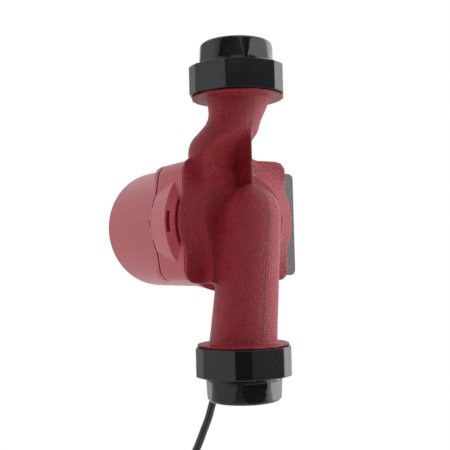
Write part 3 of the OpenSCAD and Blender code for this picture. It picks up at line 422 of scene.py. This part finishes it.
NODE_FINISHES: dict[str, Finish] = {
    "pump_housing": CAST_RED, "wear_ring": DRAWN_STEEL, "impeller": IMPELLER_GREY, "shaft": CERAMIC,
    "rotor_core": DRAWN_STEEL, "rotor_end_rings": DRAWN_STEEL, "thrust_bearing": CARBON,
    "inner_bearing": CERAMIC, "front_bearing": CERAMIC, "bearing_plate": DRAWN_STEEL,
    "housing_gasket": SEAL_BLACK, "rotor_can": DRAWN_STEEL, "stator_housing": SATIN_RED,
    "stator_core": CORE_SHEETS, "stator_windings": VARNISHED_WIRE, "housing_screws": BRIGHT_STEEL,
    "nameplate": SATIN_ALUMINIUM, "vent_screw": WARM_BRASS, "vent_seal": SEAL_BLACK,
    "terminal_box": BOX_BLACK, "box_screws": BRIGHT_STEEL, "box_gasket": SEAL_BLACK,
    "terminal_cover": BOX_BLACK, "cover_screws": BRIGHT_STEEL, "speed_switch": GLAND_BLACK,
    "speed_knob": KNOB_GREY, "terminal_block": BLOCK_WHITE, "capacitor": SATIN_ALUMINIUM,
    "wire_grommet": SEAL_BLACK, "gland_body": GLAND_BLACK, "gland_seal": SEAL_BLACK,
    "gland_nut": GLAND_BLACK, "strain_relief": SHEATH_BLACK, "suction_gasket": SEAL_BLACK,
    "suction_tail": GLOSS_BLACK, "suction_snap_ring": BRIGHT_STEEL, "suction_nut": GLOSS_BLACK,
    "discharge_gasket": SEAL_BLACK, "discharge_tail": GLOSS_BLACK, "discharge_snap_ring": BRIGHT_STEEL,
    "discharge_nut": GLOSS_BLACK, "cord_lead": SHEATH_BLACK, "cord_coil": SHEATH_BLACK,
    "cord_end": SHEATH_BLACK, "cord_tie": GLAND_BLACK, "plug_relief": SHEATH_BLACK,
    "plug_body": PLUG_BLACK, "plug_pins": BRIGHT_STEEL, "plug_earth_clips": BRIGHT_STEEL,
}

# Nodes whose edges are rounded: node, piece, body, and how far the rounding reaches.
SOFTENED: tuple[tuple[str, str, str, float], ...] = (
    ("stator_housing", "motor_barrel", "pump", 0.45 * MM),
    ("suction_nut", "suction_union_nut", "suction_nut", 0.45 * MM),
    ("discharge_nut", "discharge_union_nut", "discharge_nut", 0.45 * MM),
    ("suction_tail", "suction_union_tail", "suction_tail", 0.35 * MM),
    ("discharge_tail", "discharge_union_tail", "discharge_tail", 0.35 * MM),
    ("terminal_box", "terminal_case", "pump", 0.5 * MM),
    ("terminal_cover", "terminal_lid", "pump", 0.5 * MM),
    ("gland_body", "gland_casing", "pump", 0.3 * MM),
    ("gland_nut", "gland_cap", "pump", 0.4 * MM),
    ("speed_knob", "speed_dial", "speed_knob", 0.4 * MM),
    ("vent_screw", "vent_plug", "vent_screw", 0.25 * MM),
    ("plug_body", "plug_case", "pump", 0.9 * MM),
    ("cord_tie", "lead_tie", "pump", 0.25 * MM),
)


def piece_from(name: str, shape: bmesh.types.BMesh, finish: Finish,
               smooth_below: float = 35.0) -> bpy.types.Object:
    """Makes a scene object from a finished bmesh, with its place in its mesh.

    Args:
        name: The piece's name.
        shape: The shape in the row frame, which is freed.
        finish: Its finish.
        smooth_below: Edges flatter than this many degrees are shaded smooth.

    Returns:
        The new object.
    """
    limit = math.radians(smooth_below)
    for face in shape.faces:
        face.smooth = True
    for edge in shape.edges:
        edge.smooth = len(edge.link_faces) == 2 and edge.calc_face_angle(0.0) < limit
    mesh = bpy.data.meshes.new(name)
    shape.to_mesh(mesh)
    shape.free()
    mesh.materials.append(finish.material())
    piece = bpy.data.objects.new(name, mesh)
    bpy.context.scene.collection.objects.link(piece)
    return piece


def merged_copy(node: str) -> bmesh.types.BMesh:
    """A CAD node's mesh as a bmesh, with its loose triangles joined up.

    Args:
        node: The CAD node's name.

    Returns:
        The joined mesh, in the row frame.
    """
    shape = bmesh.new()
    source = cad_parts[node]
    shape.from_mesh(source.data)
    shape.transform(source.matrix_world)
    bmesh.ops.remove_doubles(shape, verts=shape.verts, dist=LOOSE_DISTANCE)
    bmesh.ops.recalc_face_normals(shape, faces=shape.faces)
    return shape


def applied(piece: bpy.types.Object) -> bpy.types.Mesh:
    """Turns a piece's modifiers into plain mesh.

    Args:
        piece: The piece, whose mesh is changed for the finished one.

    Returns:
        The finished mesh.
    """
    graph = bpy.context.evaluated_depsgraph_get()
    mesh = bpy.data.meshes.new_from_object(piece.evaluated_get(graph))
    piece.modifiers.clear()
    piece.data = mesh
    return mesh


def softened(shape: bmesh.types.BMesh, width: float) -> bmesh.types.BMesh:
    """Rounds the sharp edges of a shape.

    Args:
        shape: The shape, which is changed in place.
        width: How far the rounding reaches from each edge.

    Returns:
        The same shape.
    """
    bmesh.ops.dissolve_limit(shape, angle_limit=math.radians(FLAT_TURN), verts=shape.verts,
                             edges=shape.edges, use_dissolve_boundaries=False, delimit=set())
    limit = math.radians(KEEN_TURN)
    sharp = [edge for edge in shape.edges
             if len(edge.link_faces) == 2 and edge.calc_face_angle(0.0) > limit]
    bmesh.ops.bevel(shape, geom=sharp, offset=width, offset_type="OFFSET",
                    segments=ROUNDING_STRIPS, profile=0.5, affect="EDGES", clamp_overlap=False, material=-1)
    return shape


def slim_stem(dial: bmesh.types.BMesh) -> bmesh.types.BMesh:
    """Gives the knob's stem room to turn in the lid and the switch.

    Args:
        dial: The knob's shape, which is changed in place.

    Returns:
        The same shape.
    """
    stem = [corner for corner in dial.verts
            if math.hypot(corner.co.x - KNOB_AXIS[0], corner.co.z - KNOB_AXIS[2]) < STEM_REACH]
    bmesh.ops.scale(dial, verts=stem, vec=(STEM_SHARE, 1.0, STEM_SHARE),
                    space=Matrix.Translation(-Vector(KNOB_AXIS)))
    return dial


def softened_piece(node: str, name: str, body: str, width: float) -> bpy.types.Object:
    """A CAD node's shape with its edges rounded, in the node's place.

    Args:
        node: The CAD node that it replaces.
        name: The piece's name.
        body: The body that it rides.
        width: How far the rounding reaches from each edge.

    Returns:
        The new object.
    """
    shape = merged_copy(node)
    if node == "speed_knob":
        slim_stem(shape)
    piece = piece_from(name, softened(shape, width), NODE_FINISHES[node], ROUND_BELOW)
    even = piece.modifiers.new("even_normals", "WEIGHTED_NORMAL")
    even.keep_sharp = True
    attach(piece, body)
    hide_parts(node)
    log.info("%s: %d faces", name, len(piece.data.polygons))
    return piece


def turned(profile: Sequence[Pair],
           shape: Optional[bmesh.types.BMesh] = None) -> bmesh.types.BMesh:
    """Turns a closed outline about the upright axis.

    Args:
        profile: Radius and height of each corner of the outline, in order round it.
        shape: A shape to add it to, in place of a new one.

    Returns:
        The shape with the turned ring in it.
    """
    shape = shape or bmesh.new()
    corners = [shape.verts.new((radius, 0.0, height)) for radius, height in profile]
    lines = [shape.edges.new(pair) for pair in zip(corners, corners[1:] + corners[:1])]
    bmesh.ops.spin(shape, geom=corners + lines, axis=(0.0, 0.0, 1.0), cent=(0.0, 0.0, 0.0),
                   angle=math.tau, steps=TURNED_STRIPS, use_merge=True)
    bmesh.ops.recalc_face_normals(shape, faces=shape.faces)
    return shape


@dataclass
class CastHousing:
    """The sand cast housing, whose hollow corners are run together as in a mould.

    Depths are along +Y, and the three lock radii are taken from the motor's axis.

    Attributes:
        voxel: The grid on which its skin is made.
        collar: Height of each collar above or below that axis, beyond which nothing moves.
        collar_run: The stretch below a collar over which the skin is let go.
        joint: Depth of the plate's front, where the motor sits against it.
        joint_radius: How far from the axis that joint reaches.
        pad: Depth of the raised pad's seat.
        pad_radius: Its radius.
        chamber: Depth of the impeller chamber's floor.
        chamber_radius: Its radius.
        root_bore: Inner radius of the ring that fills the corner at each collar.
        root_end: Height above or below the axis at which both rings end, in the collars.
        roots: Each ring's start from the axis, and its outer radius there and at its end.
        fill: Share of its pull by which a hollow corner moves at a step.
        wear: The same for an outer corner.
        steps: How often the corners move.
        even_steps: Last steps that even out the skin.
    """

    voxel: float = 0.85 * MM
    collar: float = 76.3 * MM
    collar_run: float = 5.0 * MM
    joint: float = -4.5 * MM
    joint_radius: float = 50.0 * MM
    pad: float = 5.2 * MM
    pad_radius: float = 28.0 * MM
    chamber: float = -2.0 * MM
    chamber_radius: float = 37.0 * MM
    root_bore: float = 17.5 * MM
    root_end: float = 77.5 * MM
    roots: tuple[Point, ...] = ((-71.0 * MM, 20.4 * MM, 21.2 * MM),
                                (71.0 * MM, 18.0 * MM, 20.0 * MM))
    fill: float = 0.5
    wear: float = 0.012
    steps: int = 60
    even_steps: int = 3

    def build(self) -> bpy.types.Object:
        """Builds the housing and puts it in its node's place.

        Returns:
            The new object.
        """
        shape = merged_copy("pump_housing")
        for reach, near, far in self.roots:
            start, end = MOTOR_Z + reach, MOTOR_Z + math.copysign(self.root_end, reach)
            turned(((self.root_bore, start), (near, start), (far, end), (self.root_bore, end)), shape)
        piece = piece_from("housing_casting", shape, CAST_RED)
        skin = piece.modifiers.new("skin", "REMESH")
        skin.mode = "VOXEL"
        skin.voxel_size = self.voxel
        skin.use_smooth_shade = True
        mesh = applied(piece)
        mesh.materials.clear()
        mesh.materials.append(CAST_RED.material())
        self._run_corners(mesh)
        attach(piece, "pump")
        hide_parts("pump_housing")
        log.info("housing_casting: %d faces", len(mesh.polygons))
        return piece

    def _free(self, places: np.ndarray) -> np.ndarray:
        """How freely each point of the skin may move.

        Args:
            places: The points of the skin, one a row.

        Returns:
            1 for a point of the open casting, down to 0 where it meets other pieces.
        """
        height = places[:, 2] - MOTOR_Z
        radius = np.hypot(places[:, 0], height)
        depth = places[:, 1]
        below_collar = np.clip((self.collar - np.abs(height)) / self.collar_run, 0.0, 1.0)
        locked = (depth < self.joint) & (radius < self.joint_radius)
        locked |= (radius < self.pad_radius) & (depth < self.pad)
        locked |= (radius < self.chamber_radius) & (depth < self.chamber)
        return np.where(locked, 0.0, below_collar)

    def _run_corners(self, mesh: bpy.types.Mesh) -> None:
        """Fills the skin's hollow corners and wears its outer ones a little.

        Args:
            mesh: The skin, which is changed in place.
        """
        count = len(mesh.vertices)
        places = np.empty(count * 3)
        mesh.vertices.foreach_get("co", places)
        places = places.reshape(-1, 3)
        ends = np.empty(len(mesh.edges) * 2, dtype=np.int32)
        mesh.edges.foreach_get("vertices", ends)
        ends = ends.reshape(-1, 2)
        degree = np.bincount(ends.ravel(), minlength=count)
        free = self._free(places)
        normals = np.empty(count * 3, dtype=np.float32)
        for step in range(self.steps + self.even_steps):
            around = np.stack([np.bincount(ends[:, 0], places[ends[:, 1], axis], count)
                               + np.bincount(ends[:, 1], places[ends[:, 0], axis], count)
                               for axis in range(3)], axis=1) / degree[:, None]
            pull = around - places
            mesh.vertex_normals.foreach_get("vector", normals)
            lift = (pull * normals.reshape(-1, 3)).sum(axis=1)
            share = np.where(lift > 0.0, self.fill, self.wear)
            if step >= self.steps:
                share = np.full(count, self.fill)
            places += pull * (share * free)[:, None]
            mesh.vertices.foreach_set("co", places.ravel())
            mesh.update()


@dataclass
class RibbedSleeve:
    """A soft tapering sleeve round the lead, with ribs.

    Attributes:
        node: The CAD node that it replaces.
        name: The piece's name.
        top_radius: Its radius at its upper end.
        low_radius: Its radius at its lower end.
        bore: Radius of the lead in it.
        ribs: How many grooves part its ribs.
        groove: How deep each groove is.
        groove_share: A groove's share of the space from rib to rib.
        slope: The share of that space that one flank of a groove takes.
        plain: The share of its length left plain at each end.
    """

    node: str
    name: str
    top_radius: float
    low_radius: float
    bore: float = 2.9 * MM
    ribs: int = 7
    groove: float = 0.55 * MM
    groove_share: float = 0.5
    slope: float = 0.18
    plain: float = 0.12

    def outline(self, length: float) -> list[Pair]:
        """The sleeve's section, from its top down and back up its bore.

        Args:
            length: How long the sleeve is.

        Returns:
            Radius and height of each corner.
        """
        def radius(share: float) -> float:
            return self.low_radius + (self.top_radius - self.low_radius) * share

        section = [(self.bore, length), (radius(1.0), length)]
        step = (1.0 - 2 * self.plain) / self.ribs
        groove = ((0.0, 0.0), (self.slope, 1.0),
                  (self.groove_share - self.slope, 1.0), (self.groove_share, 0.0))
        for rib in range(self.ribs):
            top = 1.0 - self.plain - rib * step
            for part, deep in groove:
                share = top - step * part
                section.append((radius(share) - deep * self.groove, length * share))
        return section + [(radius(0.0), 0.0), (self.bore, 0.0)]

    def build(self) -> bpy.types.Object:
        """Turns the sleeve and puts it in its node's place.

        Returns:
            The new object.
        """
        corners = [vertex.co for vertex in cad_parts[self.node].data.vertices]
        low = Vector([min(corner[axis] for corner in corners) for axis in range(3)])
        high = Vector([max(corner[axis] for corner in corners) for axis in range(3)])
        middle = (low + high) / 2
        shape = turned(self.outline(high.z - low.z))
        bmesh.ops.translate(shape, verts=shape.verts, vec=(middle.x, middle.y, low.z))
        piece = piece_from(self.name, shape, SHEATH_BLACK, RIBS_BELOW)
        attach(piece, "pump")
        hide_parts(self.node)
        return piece


@dataclass
class Studio:
    """The camera, the pale floor, the surroundings and the lamps.

    Attributes:
        camera_place: Where the camera stands.
        camera_looks: The way it looks.
        camera_up: The way its picture's top points.
        lens: Its focal length, in millimetres.
        picture_width: The width of the picture behind it, in millimetres.
        nearest: How near it sees.
        floor_radius: Radius of the floor.
        floor_strips: Sides of its rim.
        floor_inner: The share of that radius at which the floor starts to fade.
        floor_gap: How far it lies under the lowest piece.
        floor_white: Its colour.
        floor_shade: The colour of its clouds.
        floor_clouds: Clouds to the metre.
        floor_rough: How dull it is.
        sky_turn: Cosines to the camera's side between which the surroundings dim.
        sky_levels: Their strength at those two.
        aim: The point that every lamp faces.
        lamps: Each lamp's name, place, side and power in watts.
    """

    camera_place: Point = (0.2673, 0.4225, 0.0858)
    camera_looks: Point = (-0.5175, -0.8543, 0.0475)
    camera_up: Point = (0.0041, 0.0530, 0.9986)
    lens: float = 63.4
    picture_width: float = 36.0
    nearest: float = 0.01
    floor_radius: float = 0.68
    floor_strips: int = 96
    floor_inner: float = 0.55
    floor_gap: float = 1.0 * MM
    floor_white: Colour = (0.86, 0.86, 0.86)
    floor_shade: Colour = (0.83, 0.83, 0.83)
    floor_clouds: float = 6.0
    floor_rough: float = 0.8
    sky_turn: Pair = (-0.1, 0.75)
    sky_levels: Pair = (1.0, 0.03)
    aim: Point = (0.0, -0.03, MOTOR_Z)
    lamps: tuple[tuple[str, Point, float, float], ...] = (
        ("left_softbox", (0.95, -0.1, 0.25), 1.0, 3.2),
        ("right_softbox", (-0.85, 0.32, 0.3), 1.3, 14.0),
        ("fill_softbox", (0.45, 0.75, 0.75), 0.6, 1.8))

    def build(self) -> None:
        """Sets up everything that isn't the pump."""
        self._camera()
        self._surroundings()
        for name, place, size, power in self.lamps:
            self._lamp(name, place, size, power)
        self._floor()

    def _camera(self) -> None:
        """Stands the camera where the photograph was taken from."""
        data = bpy.data.cameras.new("studio_camera")
        data.lens = self.lens
        data.sensor_width = self.picture_width
        data.clip_start = self.nearest
        camera = bpy.data.objects.new("studio_camera", data)
        back = -Vector(self.camera_looks).normalized()
        right = Vector(self.camera_up).cross(back).normalized()
        up = back.cross(right)
        turn = Matrix((right, up, back)).transposed().to_4x4()
        camera.matrix_world = Matrix.Translation(self.camera_place) @ turn
        bpy.context.scene.collection.objects.link(camera)
        bpy.context.scene.camera = camera

    def _surroundings(self) -> None:
        """A white world to look at, and one that lights mostly from behind and the sides."""
        world = bpy.data.worlds.new("white_sweep")
        bpy.context.scene.world = world
        world.use_nodes = True
        tree = world.node_tree
        tree.nodes.clear()
        output = tree.nodes.new("ShaderNodeOutputWorld")
        places = tree.nodes.new("ShaderNodeTexCoord")
        toward = tree.nodes.new("ShaderNodeVectorMath")
        toward.operation = "DOT_PRODUCT"
        side = Vector((self.camera_place[0], self.camera_place[1], 0.0))
        toward.inputs[1].default_value = side.normalized()
        tree.links.new(places.outputs["Generated"], toward.inputs[0])
        fall = tree.nodes.new("ShaderNodeMapRange")
        fall.interpolation_type = "SMOOTHSTEP"
        limits = zip(("From Min", "From Max", "To Min", "To Max"), self.sky_turn + self.sky_levels)
        for name, value in limits:
            fall.inputs[name].default_value = value
        tree.links.new(toward.outputs["Value"], fall.inputs["Value"])
        lit = tree.nodes.new("ShaderNodeBackground")
        tree.links.new(fall.outputs["Result"], lit.inputs["Strength"])
        seen = tree.nodes.new("ShaderNodeBackground")
        seen.inputs["Strength"].default_value = 1.0
        for shader in (lit, seen):
            shader.inputs["Color"].default_value = (1.0, 1.0, 1.0, 1.0)
        path = tree.nodes.new("ShaderNodeLightPath")
        choose = tree.nodes.new("ShaderNodeMixShader")
        tree.links.new(path.outputs["Is Camera Ray"], choose.inputs["Fac"])
        tree.links.new(lit.outputs["Background"], choose.inputs[1])
        tree.links.new(seen.outputs["Background"], choose.inputs[2])
        tree.links.new(choose.outputs["Shader"], output.inputs["Surface"])

    def _lamp(self, name: str, place: Point, size: float, power: float) -> None:
        """Hangs one square soft lamp that faces the pump.

        Args:
            name: The lamp's name.
            place: Where it hangs.
            size: The side of its square.
            power: Its power in watts.
        """
        data = bpy.data.lights.new(name, "AREA")
        data.shape = "SQUARE"
        data.size = size
        data.energy = power
        lamp = bpy.data.objects.new(name, data)
        lamp.location = place
        facing = Vector(self.aim) - Vector(place)
        lamp.rotation_euler = facing.to_track_quat("-Z", "Y").to_euler()
        bpy.context.scene.collection.objects.link(lamp)

    def _floor(self) -> None:
        """Lays a round pale floor under the lowest piece, which fades out at its rim."""
        bench = Bench("pale_floor")
        bench.settle(Roughness=self.floor_rough)
        spread = bench.tree.nodes.new("ShaderNodeVectorMath")
        spread.operation = "LENGTH"
        bench.wire(bench.places, spread.inputs[0])
        rim = bench.ranged(spread.outputs["Value"], 0.0, 1.0,
                           self.floor_radius * self.floor_inner, self.floor_radius)
        cloudy = bench.ranged(bench.noise(self.floor_clouds), 0.0, 1.0)
        bench.feed("Base Color", bench.blend(cloudy, self.floor_white, self.floor_shade))
        glow = bench.tree.nodes.new("ShaderNodeEmission")
        path = bench.tree.nodes.new("ShaderNodeLightPath")
        seen = bench.arithmetic("MULTIPLY", path.outputs["Is Camera Ray"], rim)
        choose = bench.tree.nodes.new("ShaderNodeMixShader")
        bench.wire(seen, choose.inputs["Fac"])
        bench.wire(bench.shader.outputs["BSDF"], choose.inputs[1])
        bench.wire(glow.outputs["Emission"], choose.inputs[2])
        bench.wire(choose.outputs["Shader"], bench.output.inputs["Surface"])
        shape = bmesh.new()
        bmesh.ops.create_circle(shape, cap_ends=True, radius=self.floor_radius,
                                segments=self.floor_strips)
        height = CAD_BOX[0][2] - self.floor_gap
        bmesh.ops.translate(shape, verts=shape.verts, vec=(0.0, 0.0, height))
        mesh = bpy.data.meshes.new("studio_floor")
        shape.to_mesh(mesh)
        shape.free()
        mesh.materials.append(bench.material)
        floor = bpy.data.objects.new("studio_floor", mesh)
        bpy.context.scene.collection.objects.link(floor)


@dataclass
class MainsLead:
    """The sheathed lead from the gland to the plug, with its put-away coil.

    Attributes:
        gland: Place of the gland's axis.
        heading: The way the lead's upright plane turns from +X.
        diameter: Thickness of the sheath.
        roundness: Extra corners on each quarter of it.
        top: Height at which the lead leaves the gland's bore.
        route: Its points down to the coil, out and up in millimetres.
        end_lean: Its lean from upright where the coil starts.
        turns: Turns of the coil.
        inner_radius: Radius of the coil's innermost turn.
        pitch: From one turn to the next.
        steps: Points on each turn.
        climb: Turns over which it crosses from one layer to the other.
        tail_route: Its points from the coil to the plug.
    """

    gland: Pair = (-55.0 * MM, -91.0 * MM)
    heading: float = math.radians(-33.0)
    diameter: float = 5.8 * MM
    roundness: int = 4
    top: float = 37.8 * MM
    route: tuple[Pair, ...] = (
        (0.5, 32), (3, 25), (6.5, 17), (10.5, 8), (15, -2), (19, -11), (22.5, -21), (25.5, -31),
        (29.5, -41), (34, -52), (39, -62), (45, -74), (52, -88))
    end_lean: float = math.radians(28.0)
    turns: int = 6
    inner_radius: float = 23.4 * MM
    pitch: float = 6.4 * MM
    steps: int = 24
    climb: float = 0.5
    tail_route: tuple[Pair, ...] = ((61, -105), (64.5, -114), (66.5, -123), (67, -132))

    def point(self, out: float, height: float, shift: float = 0.0) -> Vector:
        """A point of the lead's upright plane.

        Args:
            out: Distance from the gland along the heading.
            height: Height in the row frame.
            shift: Distance square to the plane.

        Returns:
            The point in the row frame.
        """
        across, along = math.sin(self.heading), math.cos(self.heading)
        return Vector((self.gland[0] + out * along - shift * across,
                       self.gland[1] + out * across + shift * along, height))

    def path(self) -> list[Vector]:
        """The whole centre line, from the gland to the plug."""
        line = [self.point(0.0, self.top)]
        line += [self.point(out * MM, height * MM) for out, height in self.route]
        lead_end = Vector((self.route[-1][0] * MM, self.route[-1][1] * MM))
        slope = Vector((math.sin(self.end_lean), -math.cos(self.end_lean)))
        start = lead_end + self.diameter * slope
        outer = self.inner_radius + self.pitch * self.turns / 2
        middle = start - outer * Vector((math.cos(self.end_lean), math.sin(self.end_lean)))
        for step in range(self.turns * self.steps + 1):
            turn = step / self.steps
            angle = self.end_lean - math.tau * turn
            radius = self.inner_radius + self.pitch * abs(turn - self.turns / 2)
            share = min(1.0, max(0.0, (turn - self.turns / 2) / self.climb + 0.5))
            shift = -self.pitch * (1.0 - math.cos(math.pi * share)) / 2
            line.append(self.point(middle.x + radius * math.cos(angle),
                                   middle.y + radius * math.sin(angle), shift))
        leave = start + self.diameter * slope
        line.append(self.point(leave.x, leave.y, -self.pitch))
        line += [self.point(out * MM, height * MM, -self.pitch) for out, height in self.tail_route]
        return line

    @staticmethod
    def rounded(line: Sequence[Vector], parts: int = 3) -> list[Vector]:
        """Puts more points on a line, on the smooth curve through its own.

        Args:
            line: The points that the curve passes.
            parts: Stretches between two of them.

        Returns:
            The denser line.
        """
        dense: list[Vector] = []
        for i in range(len(line) - 1):
            a, b = line[max(i - 1, 0)], line[i]
            c, d = line[i + 1], line[min(i + 2, len(line) - 1)]
            for part in range(parts):
                t = part / parts
                dense.append(0.5 * (2 * b + (c - a) * t + (2 * a - 5 * b + 4 * c - d) * t * t
                                    + (3 * b - a - 3 * c + d) * t ** 3))
        return dense + [line[-1]]

    def build(self) -> bpy.types.Object:
        """Returns:
            The curve object.
        """
        line = self.rounded(self.path())
        data = bpy.data.curves.new("mains_lead", "CURVE")
        data.dimensions = "3D"
        data.bevel_depth = self.diameter / 2
        data.bevel_resolution = self.roundness
        data.use_fill_caps = True
        spline = data.splines.new("POLY")
        spline.points.add(len(line) - 1)
        for knot, place in zip(spline.points, line):
            knot.co = (*place, 1.0)
        spline.use_smooth = True
        data.materials.append(SHEATH_BLACK.material())
        lead = bpy.data.objects.new("mains_lead", data)
        bpy.context.scene.collection.objects.link(lead)
        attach(lead, "pump")
        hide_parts("cord_lead", "cord_coil", "cord_end")
        return lead


def dress_nodes() -> None:
    """Gives every CAD node its finish."""
    for name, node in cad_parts.items():
        node.data.materials.clear()
        node.data.materials.append(NODE_FINISHES[name].material())


def main() -> None:
    """Builds the studio and the pump's pieces in order."""
    logging.basicConfig(level=logging.INFO, format="%(message)s")
    bpy.context.scene.view_settings.view_transform = "Standard"
    Studio().build()
    dress_nodes()
    CastHousing().build()
    for node, name, body, width in SOFTENED:
        softened_piece(node, name, body, width)
    RibbedSleeve("strain_relief", "gland_sleeve", 5.2 * MM, 3.9 * MM).build()
    RibbedSleeve("plug_relief", "plug_sleeve", 3.8 * MM, 7.0 * MM).build()
    MainsLead().build()


if __name__ == "__main__":
    main()
